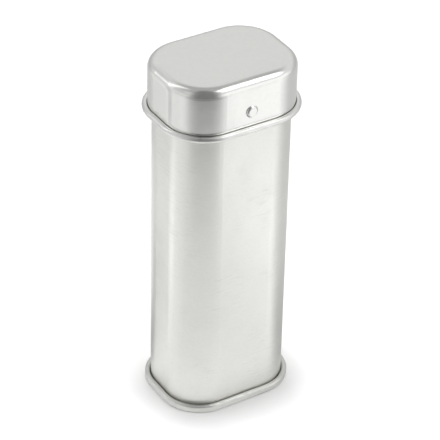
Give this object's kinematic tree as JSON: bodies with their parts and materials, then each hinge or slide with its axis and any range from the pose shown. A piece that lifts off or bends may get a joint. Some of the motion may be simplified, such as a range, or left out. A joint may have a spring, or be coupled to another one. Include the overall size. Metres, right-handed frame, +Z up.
{
  "type": "mint tin",
  "caption": "Upright pocket mint tin of tinplate: oblong round-cornered body, rolled base seam, and a deep flip-top lid with a curled rim and snap dome on a rear pin hinge.",
  "frame": {"origin": "middle of the tin's footprint, on the surface that it stands on", "axes": "+X along the wide side, -Y out of the front wall with the snap dome, +Z up towards the lid"},
  "size_m": [0.0298, 0.0236, 0.0759],
  "materials": {
    "body_tinplate": "satin",
    "base_tinplate": "satin",
    "lid_tinplate": "bright",
    "hinge_tinplate": "satin",
    "pin_wire": "drawn wire"
  },
  "bodies": {
    "tin": {"body_tube": "body_tinplate", "base_end": "base_tinplate", "hinge_leaf": "hinge_tinplate", "hinge_pin": "pin_wire"},
    "lid": {"lid_shell": "lid_tinplate"}
  },
  "joints": [
    {"name": "lid_hinge", "type": "hinge", "parent": "tin", "child": "lid", "pos_m": [0, 0.01116, 0.06568], "axis": [-1, 0, 0], "range_deg": [0, 180]}
  ]
}
